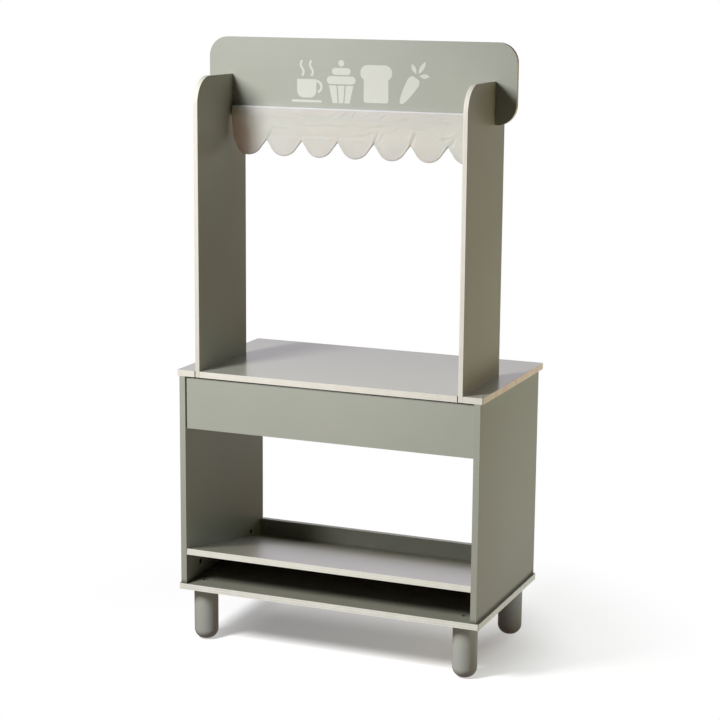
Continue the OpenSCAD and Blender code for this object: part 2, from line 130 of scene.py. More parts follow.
class Finish:
    """One material: its nodes, and the shader that they feed."""

    def __init__(self, name, tree=None):
        if tree is None:
            self.material = bpy.data.materials.new(name)
            self.material.use_nodes = True
            tree = self.material.node_tree
        self.tree = tree
        self.tree.nodes.clear()

    def node(self, kind, settings, inputs, output=0):
        made = self.tree.nodes.new(kind)
        for name, value in settings.items():
            setattr(made, name, value)
        for key, value in inputs.items():
            self.feed(made.inputs[key], value)
        return Field(self, made.outputs[output])

    def feed(self, socket, value):
        if isinstance(value, Field):
            self.tree.links.new(value.socket, socket)
        elif hasattr(value, "__len__") and socket.type == "RGBA":
            socket.default_value = (*value[:3], 1)
        else:
            socket.default_value = value

    def math(self, operation, *values):
        return self.node("ShaderNodeMath", {"operation": operation}, dict(enumerate(values)))

    def place(self):
        return self.node("ShaderNodeTexCoord", {}, {}, "Object")

    def facing(self):
        return self.node("ShaderNodeTexCoord", {}, {}, "Normal")

    def cloud(self, place, scale, detail):
        """Soft noise from 0 to 1, with spots of about 1 / scale metres."""
        inputs = {"Vector": place, "Scale": scale, "Detail": detail}
        return self.node("ShaderNodeTexNoise", {}, inputs)

    def ray(self, *kinds):
        """1 for a ray of one of these kinds."""
        found = [self.node("ShaderNodeLightPath", {}, {}, kind) for kind in kinds]
        total = found[0]
        for other in found[1:]:
            total = total.math("MAXIMUM", other)
        return total

    def relief(self, height, depth):
        """The surface's normal after it is raised by height times depth metres."""
        return self.node("ShaderNodeBump", {}, {"Height": height, "Distance": depth}, "Normal")

    def shader(self, kind, inputs):
        return self.node(kind, {}, inputs)

    def glow(self, colour):
        return self.shader("ShaderNodeEmission", {"Color": colour})

    def mix(self, share, low, high):
        """The shader low where share is 0 and high where it is 1."""
        return self.node("ShaderNodeMixShader", {}, {0: share, 1: low, 2: high})

    def end(self, surface, kind="ShaderNodeOutputMaterial"):
        output = self.tree.nodes.new(kind)
        self.feed(output.inputs["Surface"], surface)

    def principled(self, inputs):
        self.end(self.shader("ShaderNodeBsdfPrincipled", inputs))
        return self.material


# Finishes

SAGE = (0.377, 0.389, 0.333)
# Lighter copy of the sage for the legs: painted light, where the lamp's light falls off towards
# the floor
LEG_SAGE_PAINTED_LIGHT = (0.455, 0.47, 0.43)
# Warmer, less blue copy of the sage for the posts: painted warm light from the right
POST_SAGE_PAINTED_WARM_LIGHT = (0.384, 0.386, 0.306)
SAGE_WORN = (0.43, 0.437, 0.37)
# Darker copy of the sage for the base board and rear rail: painted shade, as both sit in the
# stall's shade
SAGE_PAINTED_SHADE = (0.25, 0.252, 0.202)
# Darker, warmer copy of the sage for the shelf: painted shade under the counter
SHELF_SAGE_PAINTED_SHADE = (0.235, 0.225, 0.16)
BIRCH_PALE = (0.79, 0.76, 0.695)
BIRCH_WHITE = (0.91, 0.92, 0.87)
# A darker birch, used for the left post's edges only
BIRCH_DARKER = (0.66, 0.645, 0.565)
BIRCH_GREY = (0.77, 0.775, 0.705)
BIRCH_TAN = (0.70, 0.66, 0.57)
BIRCH_END = (0.98, 0.65, 0.56)
BIRCH_END_PALE = (0.94, 0.78, 0.61)
BIRCH_GLUE = (0.50, 0.42, 0.34)
CANVAS_PALE = (0.665, 0.612, 0.57)
CANVAS_DULL = (0.615, 0.558, 0.51)
CANVAS_GLOW = (1.0, 0.225, 0.03)
CANVAS_SHEER = (0.95, 0.90, 0.82)
# Dark colour for the cloth's rim and turned hem: painted shade on the folded edge
HEM_PAINTED_SHADE = (0.14, 0.12, 0.10)
# White for the thread and the pocket's top tape; on the tape it is partly a painted highlight on
# the pocket's top
TAPE_WHITE = (0.74, 0.74, 0.76)
BEECH_PALE = (0.72, 0.54, 0.36)
BEECH_DARK = (0.55, 0.37, 0.22)
PRINT_PALE = (0.63, 0.635, 0.575)
ZINC = (0.62, 0.62, 0.60)
# Lighter copy of the zinc for the leg bolts: a painted glint on their sunk heads
ZINC_PAINTED_GLINT = (0.74, 0.74, 0.72)
# Black oxide for the barrel nuts; its black also stands in as painted shade in the holes that hold
# them
BLACK_OXIDE_AND_SHADE = (0.035, 0.035, 0.035)

PAINT_ROUGHNESS = 0.37
MOTTLE_SCALE = 9
MOTTLE_TONE = 0.7
MOTTLE_DULL = 0.1
ORANGE_PEEL = 420
PEEL_RAISED = 0.6
PORE_SCALE = (7, 190)
PORE_DULL = 0.05
SCUFF_SCALE = (31, 47, 23)
SCUFF_FROM = (0.66, 0.78)
SCUFF_SHARE = 0.25
SCUFF_SHINE = 0.08
TONE_FROM = (0.2, 0.8)
TONE_DARK, TONE_PALE = 0.965, 1.035
PAINT_RELIEF = 0.05 * MM
# Painted shade at a panel's foot: how high it reaches and how dark it gets
FOOT_SHADE_HEIGHT = 11 * MM
FOOT_SHADE_SHARE = 0.35


def shade(colour, share):
    return tuple(share * part for part in colour)


def grain_scale(grain, along, across):
    """Noise scales that draw the pattern out along the grain."""
    return [along if part else across for part in grain]


def paint_fields(finish, place, grain, sage=SAGE):
    """Colour, roughness and height of sprayed satin paint over a board's grain."""
    mottle = finish.cloud(place, MOTTLE_SCALE, detail=4)
    peel = finish.cloud(place, ORANGE_PEEL, detail=1)
    pores = finish.cloud(place.stretched(grain_scale(grain, *PORE_SCALE)), 1, detail=3)
    scuffs = finish.cloud(place.stretched(SCUFF_SCALE), 1, detail=5).step(*SCUFF_FROM)
    tone = (mottle * MOTTLE_TONE + pores * (1 - MOTTLE_TONE)).step(*TONE_FROM)
    colour = tone.choose(shade(sage, TONE_DARK), shade(sage, TONE_PALE))
    colour = (scuffs * SCUFF_SHARE).choose(colour, SAGE_WORN)
    roughness = (PAINT_ROUGHNESS + MOTTLE_DULL * (mottle - 0.5) + PORE_DULL * pores
                 - SCUFF_SHINE * scuffs)
    height = peel * PEEL_RAISED + pores * (1 - PEEL_RAISED)
    return colour, roughness, height


def painted(name, grain, sage=SAGE, foot=None):
    """Paint all over, faces and edges alike, with a line of painted shade just above the height
    foot.
    """
    finish = Finish(name)
    place = finish.place()
    colour, roughness, height = paint_fields(finish, place, grain, sage)
    if foot is not None:
        # Painted shade: the paint darkens over the last few mm above foot, where the panel meets
        # the board below
        out_of_shade = place.part("Z").step(foot, foot + FOOT_SHADE_HEIGHT)
        colour = out_of_shade.choose(shade(sage, FOOT_SHADE_SHARE), colour)
    return finish.principled({
        "Base Color": colour,
        "Roughness": roughness,
        "Normal": finish.relief(height, PAINT_RELIEF),
    })


PLY_T = 2.4 * MM
EDGE_TURN = (0.85, 0.9)
EDGE_RELIEF = 0.06 * MM
BARE_ROUGHNESS = 0.62
BOARD_GLOSS = 1.5
UNEVEN_SCALE = 45
FIBRE_SCALE = (25, 700)
FIBRE_TAN, FIBRE_RAISED = 0.12, 0.8
CROSS_PLY_FROM = (-0.05, 0.05)
CROSS_PLY_TAN = 0.75
GLUE_LINE = (0.33, 0.47)
GLUE_INSET = (0.5 * MM, 1.0 * MM)
GLUE_GAPS = (0.25, 0.65)
GLUE_SHARE, GLUE_RAISED = 0.5, 0.5
END_FACING = (0.6, 0.9)
END_SCALE = 30
END_PATCHES = (0.42, 0.58)
END_UNEVEN = 0.3
END_CLEAN, END_TANNED = 0.1, 0.75
HOLE_INSET = (18 * MM, 22 * MM)
# Painted shade inside holes and post slots: how dark, and how much of it
HOLE_PAINTED_SHADE, HOLE_SHADE_SHARE = 0.35, 0.9
SLOT_SIDE = (6 * MM, 9 * MM)
SMUDGE_RIM = (0.1 * MM, 0.4 * MM)
SMUDGE_SHADE, SMUDGE_SHARE = 0.6, 0.35


def birch_edge(finish, place, facing, grain, birch, end_tan, depth, thick):
    """Colour, height and rim of bare plywood, seen along its plies."""
    plies = 2 * round((thick / PLY_T - 1) / 2) + 1
    layer = depth * (plies / thick)
    rim = thick / 2 - abs(depth - thick / 2)
    uneven = finish.cloud(place, UNEVEN_SCALE, detail=4)
    fibre = finish.cloud(place.stretched(grain_scale(grain, *FIBRE_SCALE)), 1, detail=3)
    lines = abs((layer % 1) - 0.5).step(*GLUE_LINE)
    glue = lines * rim.step(*GLUE_INSET) * uneven.step(*GLUE_GAPS)
    cross_ply = ((layer % 2) - 1).step(*CROSS_PLY_FROM) * uneven
    wood = (CROSS_PLY_TAN * cross_ply + FIBRE_TAN * fibre).choose(birch, BIRCH_TAN)
    cut_end = abs(facing.part("X")).step(*END_FACING) * (end_tan + END_UNEVEN * end_tan * uneven)
    patches = finish.cloud(place, END_SCALE, detail=1).step(*END_PATCHES)
    wood = cut_end.choose(wood, patches.choose(BIRCH_END, BIRCH_END_PALE))
    wood = (glue * GLUE_SHARE).choose(wood, BIRCH_GLUE)
    return wood, FIBRE_RAISED * fibre + GLUE_RAISED * glue, rim


def bare_edged(node, across, grain, low=None, high=None, lacquer=None, end_tan=END_CLEAN,
               sage=SAGE, birch=BIRCH_PALE, gloss=BOARD_GLOSS, edge_lacquer=None, slotted_for=()):
    """Painted faces, and edges of bare birch plywood; across is the way through the board."""
    finish = Finish(node + "_finish")
    place = finish.place()
    facing = finish.facing()
    colour, roughness, height = paint_fields(finish, place, grain, sage)
    box_low, box_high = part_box(node)
    if low is None:
        low, high = box_low.dot(Vector(across)), box_high.dot(Vector(across))
    depth = place.along(across) - low
    wood, wood_height, rim = birch_edge(
        finish, place, facing, grain, birch, end_tan, depth, high - low)

    edge = 1 - abs(facing.along(across)).step(*EDGE_TURN)
    # Painted shade: hole walls deep inside the board and the slot cheeks beside the posts are
    # painted dark sage, for the shade inside them
    hole_shade = edge
    through = max(range(3), key=lambda axis: abs(across[axis]))
    for axis, name in enumerate("XYZ"):
        if axis != through:
            middle = (box_low[axis] + box_high[axis]) / 2
            half = (box_high[axis] - box_low[axis]) / 2
            hole_shade = hole_shade * (half - abs(place.part(name) - middle)).step(*HOLE_INSET)
    for post in slotted_for:
        post_low, post_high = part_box(post)
        off = abs(place.part("X") - (post_low.x + post_high.x) / 2)
        slot_shade = (1 - off.step(*SLOT_SIDE)) * abs(facing.part("X")).step(*END_FACING)
        hole_shade = hole_shade.math("MAXIMUM", slot_shade)
    smudge = edge * (1 - rim.step(*SMUDGE_RIM))
    colour = edge.choose(colour, wood)
    colour = (smudge * SMUDGE_SHARE).choose(colour, shade(SAGE, SMUDGE_SHADE))
    colour = (hole_shade * HOLE_SHADE_SHARE).choose(colour, shade(SAGE, HOLE_PAINTED_SHADE))
    roughness = roughness + edge * ((edge_lacquer or BARE_ROUGHNESS) - roughness)
    height = height + edge * (wood_height - height)
    return finish.principled({
        "Base Color": colour,
        "Roughness": roughness,
        "Coat Weight": edge if edge_lacquer else 1 - edge if lacquer else 0.0,
        "Coat Roughness": edge_lacquer or lacquer or 0.0,
        "Coat IOR": gloss,
        "Normal": finish.relief(height, EDGE_RELIEF),
    })


BLOOM_SCALE = 260
BLOOM_FROM = (0.25, 0.8)
BLOOM_SHADE, BLOOM_DULL = 0.8, 0.2
SCRATCH_SCALE = (900, 900, 60)
SCRATCH_DULL = 0.08
STEEL_RELIEF = 0.02 * MM


def plated_steel(name, plate, dull):
    """Plated steel with a patchy bloom and fine scratches; dull is its least roughness."""
    finish = Finish(name)
    place = finish.place()
    bloom = finish.cloud(place, BLOOM_SCALE, detail=3)
    scratches = finish.cloud(place.stretched(SCRATCH_SCALE), 1, detail=2)
    return finish.principled({
        "Base Color": bloom.step(*BLOOM_FROM).choose(plate, shade(plate, BLOOM_SHADE)),
        "Roughness": dull + BLOOM_DULL * bloom + SCRATCH_DULL * scratches,
        "Metallic": 1.0,
        "Normal": finish.relief(scratches, STEEL_RELIEF),
    })


BEECH_ROUGHNESS = 0.55
RING_SCALE = (12, 160, 160)
RING_FROM = (0.3, 0.7)
RING_DULL = 0.15
FLECK_SCALE = (90, 900, 900)
FLECK_FROM = (0.6, 0.7)
FLECK_SHARE, FLECK_RAISED = 0.35, 0.5
BEECH_RELIEF = 0.05 * MM


def plain_beech(name):
    """Bare beech with soft rings and short dark flecks."""
    finish = Finish(name)
    place = finish.place()
    rings = finish.cloud(place.stretched(RING_SCALE), 1, detail=3)
    flecks = finish.cloud(place.stretched(FLECK_SCALE), 1, detail=2).step(*FLECK_FROM)
    colour = rings.step(*RING_FROM).choose(BEECH_PALE, BEECH_DARK)
    return finish.principled({
        "Base Color": (flecks * FLECK_SHARE).choose(colour, BEECH_DARK),
        "Roughness": BEECH_ROUGHNESS + RING_DULL * rings,
        "Normal": finish.relief(rings + FLECK_RAISED * flecks, BEECH_RELIEF),
    })


WEAVE_PITCH = 1.1 * MM
YARN_WANDER = 0.15 * MM
SLUB_SCALE = (40, 40, 700)
WEFT_SCALE = (700, 40, 40)
SLUB_TONE, SLUB_RAISED = 0.4, 0.6
WEAVE_TONE, WEAVE_DULL = 0.3, 0.1
PATCH_SCALE = 38
PATCH_FROM = (0.25, 0.75)
PATCH_TONE = 0.3
CANVAS_ROUGHNESS = 0.86
CANVAS_SHEEN = 0.12
SHEEN_ROUGHNESS = 0.5
CANVAS_RELIEF = 0.12 * MM
SOAK = 0.3
SOAK_REACH = (1.2, 0.5, 0.22)
SOAK_SCALE = 0.2
THIN_OUTSIDE = 0.10
THIN_INSIDE = 0.8
THIN_GAPS, THIN_YARNS = 1.2, 0.4
FLAP_BRIGHT = (0.98, 1.045, 1.04)


def canvas(name, thin, glow, bright=(1, 1, 1)):
    """Plain-weave cotton with slubs and soft patches.

    thin is the share of light let through and glow its colour; bright scales the cloth's own.
    """
    finish = Finish(name)
    place = finish.place()
    slubs = finish.cloud(place.stretched(SLUB_SCALE), 1, detail=2)
    wefts = finish.cloud(place.stretched(WEFT_SCALE), 1, detail=2)
    warp = (place.part("X") + YARN_WANDER * wefts).wave(WEAVE_PITCH)
    weft = (place.part("Z") + place.part("Y") + YARN_WANDER * slubs).wave(WEAVE_PITCH)
    weave = (warp * weft + 1) / 2
    patches = finish.cloud(place, PATCH_SCALE, detail=4).step(*PATCH_FROM)
    tone = PATCH_TONE * patches + SLUB_TONE * slubs + WEAVE_TONE * weave
    pale, dull = (tuple(b * c for b, c in zip(bright, cloth))
                  for cloth in (CANVAS_PALE, CANVAS_DULL))
    yarn = finish.node("ShaderNodeBsdfPrincipled", {"subsurface_method": "BURLEY"}, {
        "Subsurface Weight": SOAK,
        "Subsurface Radius": SOAK_REACH,
        "Subsurface Scale": SOAK_SCALE,
        "Base Color": tone.choose(pale, dull),
        "Roughness": CANVAS_ROUGHNESS + WEAVE_DULL * weave,
        "Sheen Weight": CANVAS_SHEEN,
        "Sheen Roughness": SHEEN_ROUGHNESS,
        "Normal": finish.relief(weave + SLUB_RAISED * slubs, CANVAS_RELIEF),
    })
    through = finish.shader("ShaderNodeBsdfTranslucent", {"Color": glow})
    gaps = thin * (THIN_GAPS - THIN_YARNS * weave)
    finish.end(finish.mix(gaps, yarn, through))
    return finish.material


FRAY_SCALE = 900
FRAY_FROM = (0.3, 0.7)
FRAY_ROUGHNESS = 0.9
FRAY_RELIEF = 0.1 * MM


def painted_shade_hem(name):
    """The rim and turned hem of the cloth, coloured dark as painted shade on the folded edge, with
    frayed spots of the cloth's own colour.
    """
    finish = Finish(name)
    frayed = finish.cloud(finish.place(), FRAY_SCALE, detail=2)
    return finish.principled({
        "Base Color": frayed.step(*FRAY_FROM).choose(HEM_PAINTED_SHADE, CANVAS_DULL),
        "Roughness": FRAY_ROUGHNESS,
        "Normal": finish.relief(frayed, FRAY_RELIEF),
    })


TAPE_SCALE = (60, 300, 300)
TAPE_WORN = (0.3, 0.8)
TAPE_SHADE = 0.94
TAPE_ROUGHNESS, TAPE_DULL = 0.55, 0.15
TAPE_RELIEF = 0.04 * MM


def tape_and_highlight(name):
    """White satin tape along the top of the pocket; its white is partly the tape's own and partly
    a painted highlight on the pocket's top.
    """
    finish = Finish(name)
    place = finish.place()
    ribs = place.part("X").wave(WEAVE_PITCH / 2)
    worn = finish.cloud(place.stretched(TAPE_SCALE), 1, detail=3)
    return finish.principled({
        "Base Color": worn.step(*TAPE_WORN).choose(TAPE_WHITE, shade(TAPE_WHITE, TAPE_SHADE)),
        "Roughness": TAPE_ROUGHNESS + TAPE_DULL * worn,
        "Normal": finish.relief(ribs, TAPE_RELIEF),
    })


TWIST_PITCH = 0.5 * MM
THREAD_ROUGHNESS = 0.8
THREAD_RELIEF = 0.05 * MM


def cotton_thread(name):
    """Twisted cotton thread."""
    finish = Finish(name)
    place = finish.place()
    twist = (place.part("X") + place.part("Z")).wave(TWIST_PITCH)
    return finish.principled({
        "Base Color": (0.5 + 0.5 * twist).choose(TAPE_WHITE, CANVAS_PALE),
        "Roughness": THREAD_ROUGHNESS,
        "Normal": finish.relief(twist, THREAD_RELIEF),
    })


COVER_SCALE = 300
COVER_FROM = (0.2, 0.8)
COVER_SHADE, COVER_DULL = 0.95, 0.15
PINHOLE_SCALE = 1500
PINHOLE_FROM = (0.72, 0.8)
PINHOLE_SHARE = 0.4
PRINT_ROUGHNESS = 0.5
PRINT_RELIEF = 0.03 * MM


def print_paint(name):
    """Thin pale screen print, a little uneven where the paint below shows."""
    finish = Finish(name)
    place = finish.place()
    cover = finish.cloud(place, COVER_SCALE, detail=4)
    pinholes = finish.cloud(place, PINHOLE_SCALE, detail=1).step(*PINHOLE_FROM)
    colour = cover.step(*COVER_FROM).choose(shade(PRINT_PALE, COVER_SHADE), PRINT_PALE)
    return finish.principled({
        "Base Color": (pinholes * PINHOLE_SHARE).choose(colour, SAGE),
        "Roughness": PRINT_ROUGHNESS + COVER_DULL * cover,
        "Normal": finish.relief(cover, PRINT_RELIEF),
    })


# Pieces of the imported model

def dress(node, material):
    mesh = frame["nodes"][node].data
    mesh.materials.clear()
    mesh.materials.append(material)


EASED = 0.5 * MM
EASE_STEPS = 2
WELD_REACH = 0.002 * MM
FLAT_ANGLE = math.radians(1)
SHARP_ANGLE = math.radians(40)
FACE_WEIGHT = 100


def ease_edges(node):
    """Sands the board's sharp edges to a small round."""
    board = frame["nodes"][node]
    weld = board.modifiers.new("weld", "WELD")
    weld.merge_threshold = WELD_REACH
    flat = board.modifiers.new("flat", "DECIMATE")
    flat.decimate_type = "DISSOLVE"
    flat.angle_limit = FLAT_ANGLE
    bevel = board.modifiers.new("eased", "BEVEL")
    bevel.width = EASED
    bevel.segments = EASE_STEPS
    bevel.limit_method = "ANGLE"
    bevel.angle_limit = SHARP_ANGLE
    level = board.modifiers.new("level", "WEIGHTED_NORMAL")
    level.mode = "FACE_AREA"
    level.weight = FACE_WEIGHT


COUNTER_LACQUER, COUNTER_GLOSS = 0.18, 1.95
SHELF_LACQUER, SHELF_GLOSS = 0.37, 2.9
ZINC_DULL, GLINT_ZINC_DULL, OXIDE_DULL = 0.26, 0.42, 0.45

shelf_mount = next(m for m in frame["record"]["mounts"] if m["name"] == "shelf_surface")
shelf_up = tuple(shelf_mount["axis"])
shelf_high = Vector(shelf_mount["pos_m"]).dot(Vector(shelf_up))
counter_low, counter_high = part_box("counter_top")
shelf_low = shelf_high - (counter_high.z - counter_low.z)

dress("counter_top", bare_edged(
    "counter_top", UP, RIGHT, lacquer=COUNTER_LACQUER, gloss=COUNTER_GLOSS, end_tan=END_TANNED,
    slotted_for=("left_post", "right_post")))
# The base board and rear rail take the darker sage, painted shade
dress("base_board", bare_edged(
    "base_board", UP, RIGHT, lacquer=SHELF_LACQUER, sage=SAGE_PAINTED_SHADE, birch=BIRCH_WHITE))
# The shelf takes its own darker sage, painted shade
dress("shelf", bare_edged(
    "shelf", shelf_up, RIGHT, shelf_low, shelf_high, lacquer=SHELF_LACQUER, gloss=SHELF_GLOSS,
    sage=SHELF_SAGE_PAINTED_SHADE, birch=BIRCH_GREY))
dress("rear_rail", bare_edged(
    "rear_rail", BACK, RIGHT, sage=SAGE_PAINTED_SHADE, edge_lacquer=SHELF_LACQUER))
# The posts take the warmer sage, painted warm light
dress("left_post", bare_edged("left_post", RIGHT, UP, sage=POST_SAGE_PAINTED_WARM_LIGHT, birch=BIRCH_DARKER))
dress("right_post", bare_edged("right_post", RIGHT, UP, sage=POST_SAGE_PAINTED_WARM_LIGHT))
dress("sign_board", bare_edged("sign_board", BACK, RIGHT, end_tan=END_TANNED))

# The side panels carry a painted shade line just above the base board
panel_paint = painted("panel_paint", UP, foot=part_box("base_board")[1].z)
apron_paint = painted("apron_paint", RIGHT)
# The legs take the lighter sage, painted light
leg_paint = painted("leg_paint", UP, LEG_SAGE_PAINTED_LIGHT)
dress("left_side_panel", panel_paint)
dress("right_side_panel", panel_paint)
dress("front_apron", apron_paint)
for node in ("front_left_leg", "front_right_leg", "rear_left_leg", "rear_right_leg"):
    dress(node, leg_paint)

zinc = plated_steel("zinc_plate", ZINC, ZINC_DULL)
for node in ("leg_inserts", "base_bolts", "cam_pins", "cam_locks",
             "post_brackets", "bracket_screws", "batten_screws"):
    dress(node, zinc)
# The leg bolts take the lighter zinc, a painted glint
dress("leg_bolts", plated_steel("zinc_painted_glint", ZINC_PAINTED_GLINT, GLINT_ZINC_DULL))
# The barrel nuts take the black oxide, partly painted shade in their holes
dress("barrel_nuts", plated_steel("black_oxide_and_shade", BLACK_OXIDE_AND_SHADE, OXIDE_DULL))
beech = plain_beech("plain_beech")
for node in ("apron_dowels", "rail_dowels", "shelf_dowels", "counter_dowels", "valance_batten"):
    dress(node, beech)

for node in ("counter_top", "base_board", "rear_rail", "shelf", "left_post", "right_post",
             "sign_board", "left_side_panel", "right_side_panel", "front_apron"):
    ease_edges(node)


# Meshes

def add_object(name, data):
    made = bpy.data.objects.new(name, data)
    bpy.context.scene.collection.objects.link(made)
    return made


def new_piece(name, points, faces, material, smooth=True):
    mesh = bpy.data.meshes.new(name)
    mesh.from_pydata(points, [], faces)
    mesh.validate()
    mesh.polygons.foreach_set("use_smooth", [smooth] * len(mesh.polygons))
    mesh.materials.append(material)
    return add_object(name, mesh)


# Valance

SCALLOPS = 7
SCALLOP_COLUMNS = 44
SCALLOP_H = 30 * MM
FLANK_ANGLE = math.radians(54)
FLAP_ROWS = 48
CLOTH_T = 1.0 * MM
HEM_T = 3.2 * MM
HEM_W = 3.0 * MM
HEM_ROLL = 2.4 * MM
HEM_ROWS = 6
HEM_TURNED = 3
HEM_LIP = 0.5 * MM
POCKET_ROUND = 2.2 * MM
POCKET_STEPS = 14
TAPE_W = 2.2 * MM
TAPE_T = 0.3 * MM

BELLY_D = 5 * MM
BELLY_POWER = 1.6
LOOSE_RISE = 4
DRAW_D = 4 * MM
DRAW_W = 14 * MM
DRAW_POWER = 1.5

# Drag folds that rise from the points between scallops: point number, lean share, depth share
FOLDS = (
    (1, 0.5, 0.7), (2, 0.2, 0.2), (3, 0.3, 0.5), (4, 0.35, 0.8),
    (4, 0.75, 0.5), (5, 0.35, 1.3), (6, -0.4, 0.6), (6, 0.6, 0.8),
)
FOLD_D = 1.5 * MM
FOLD_W = 8 * MM
FOLD_FROM, FOLD_REACH = 0.25, 0.95
CREASE_W = 2.4 * MM
CREASE_D = 2.4 * MM

# Flat wrinkles under the seam and over the pocket: middle x, half length and height above the
# seam in mm, then slope and depth share
WRINKLES = (
    (-80, 30, -11, 0.02, 0.5), (-20, 26, -10, 0.04, 0.5), (48, 20, -9, 0.15, 0.6),
    (80, 18, -14, 0.4, 0.5), (-165, 26, -18, -0.06, 0.4), (130, 22, -12, -0.15, 0.5),
    (190, 20, -24, 0.3, 0.5), (25, 26, -25, 0.1, 0.4), (-215, 18, -12, 0.3, 0.4),
    (222, 16, -34, -0.6, 0.5), (-48, 9, 9, 0.9, 0.6), (-30, 10, 8, 0.7, 0.6),
    (-6, 9, 10, 1.0, 0.6), (18, 12, 7, 0.6, 0.6), (56, 10, 9, 0.8, 0.6),
    (165, 16, 6, 0.3, 0.5), (100, 18, 6, 0.2, 0.5), (-120, 20, 7, -0.15, 0.4),
)
WRINKLE_D = 1.3 * MM
WRINKLE_W = 2.4 * MM
WAVER_D, WAVER_SCALE = 3 * MM, 45
GROOVE_AWAY, GROOVE_W = 4 * MM, 3 * MM

# The pressed line, with its middle and half length in scallops
PRESS_DOWN = 0.87
PRESS_D = 0.55 * MM
PRESS_W = 2.2 * MM
PRESS_WAVER_D = 1.5 * MM
PRESS_MIDDLE, PRESS_HALF = 2.7, 1.3

# Patterns of ripples: scale along x, scale along z, number of the pattern and slant
PRESS_WAVER = (25, 0, 0.4)
POCKET_PUCKERS = (75, 25, 5.3)
POCKET_WAVES = (30, 60, 8.1)
SEAM_SLOW = (18, 0, 6.4)
SEAM_QUICK = (160, 0, 2.2)

# Small waves in the flap: depth in mm and pattern
SMALL_WAVES = ((0.6, (22, 40, 3.1)), (0.5, (60, 30, 7.7, 35)), (0.16, (140, 110, 1.9)))

# The pocket's front: depths in mm
BULGE_MM = 0.5
PUCKER_MM = 0.35
POCKET_WAVE_MM = 0.2

PINCH_D = 0.3 * MM
PINCH_W = 1.6 * MM
PINCH_EVEN, PINCH_SLOW, PINCH_QUICK = 0.7, 0.5, 0.3

pocket_low, pocket_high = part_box("valance_pocket")
flap_low, flap_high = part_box("valance_flap")
valance_w = pocket_high.x - pocket_low.x
scallop_w = valance_w / SCALLOPS
flap_top = flap_high.z
flap_h = flap_top - flap_low.z - SCALLOP_H
flap_y = pocket_low.y + CLOTH_T / 2
tip_r = (scallop_w / 2 * math.tan(FLANK_ANGLE) - SCALLOP_H) / (
    math.sin(FLANK_ANGLE) * math.tan(FLANK_ANGLE) - 1 + math.cos(FLANK_ANGLE))
tip_half_w = tip_r * math.sin(FLANK_ANGLE)


def scallop_offset(x):
    """Distance from the middle of the scallop at width x."""
    across = (x - pocket_low.x) / scallop_w
    number = min(SCALLOPS - 1, math.floor(across))
    return abs(across - number - 0.5) * scallop_w


def edge_lean(d):
    """How much further down than square across the hem reaches, where the edge slants."""
    slope = math.tan(FLANK_ANGLE) if d >= tip_half_w else d / math.sqrt(tip_r ** 2 - d ** 2)
    return math.hypot(1, slope)


def edge_fall(d):
    """How far the cloth's edge lies below the points, at distance d from a scallop's middle."""
    if d < tip_half_w:
        return SCALLOP_H - tip_r + math.sqrt(tip_r ** 2 - d ** 2)
    return max(0, (scallop_w / 2 - d) * math.tan(FLANK_ANGLE))


def clamp(value):
    return min(1, max(0, value))


def bump(value, width):
    return math.exp(-(value / width) ** 2)


def ripple(x, z, wide, tall, number, slant=0):
    """Noise over the cloth, from -1 to 1."""
    return noise.noise((x * wide + z * slant, number, z * tall))


def drag_fold(x, s, point, lean, depth):
    middle = pocket_low.x + point * scallop_w + lean * flap_h * (1 - s)
    rise = depth * math.sin(math.pi * clamp((s - FOLD_FROM) / FOLD_REACH))
    ridge = bump(x - middle + FOLD_W / 2, FOLD_W)
    groove = bump(x - middle, CREASE_W)
    return rise * (FOLD_D * ridge - CREASE_D * groove)


def small_waves(x, z):
    """Small uneven waves left in the cloth."""
    return sum(depth * ripple(x, z, *pattern) for depth, pattern in SMALL_WAVES) * MM


def wrinkles(x, z):
    """A ridge with a groove under it for each wrinkle."""
    total = 0
    for middle, half, rise, slope, depth in WRINKLES:
        off = x - middle * MM
        waver = WAVER_D * ripple(x, 0, WAVER_SCALE, 0, middle)
        line = z - pocket_low.z - rise * MM - slope * off + waver
        ridge = bump(line, WRINKLE_W) - bump(line + GROOVE_AWAY, GROOVE_W)
        total += depth * bump(off, half * MM) * ridge
    return WRINKLE_D * total


def press_crease(x, z):
    """The line across the left half where the cloth lay folded."""
    line = flap_top - PRESS_DOWN * flap_h + PRESS_WAVER_D * ripple(x, 0, *PRESS_WAVER)
    reach = bump(x - (pocket_low.x + PRESS_MIDDLE * scallop_w), PRESS_HALF * scallop_w)
    ridge = bump(z - line, PRESS_W) - bump(z - line - GROOVE_AWAY, GROOVE_W)
    return PRESS_D * reach * ridge


def swing(x, s, z):
    """How far the cloth hangs forward at width x and share s of the way down."""
    belly = BELLY_D * s ** BELLY_POWER * math.cos(math.pi * scallop_offset(x) / scallop_w)
    folds = sum(drag_fold(x, s, *fold) for fold in FOLDS)
    loose = min(1.0, LOOSE_RISE * s)
    return belly + folds + loose * (small_waves(x, z) + wrinkles(x, z) + press_crease(x, z))


def draw_in(x, s):
    """The free left and right ends pull in a little on their way down."""
    end = pocket_low.x if x < 0 else pocket_high.x
    return -math.copysign(DRAW_D, end) * s ** DRAW_POWER * bump(x - end, DRAW_W)


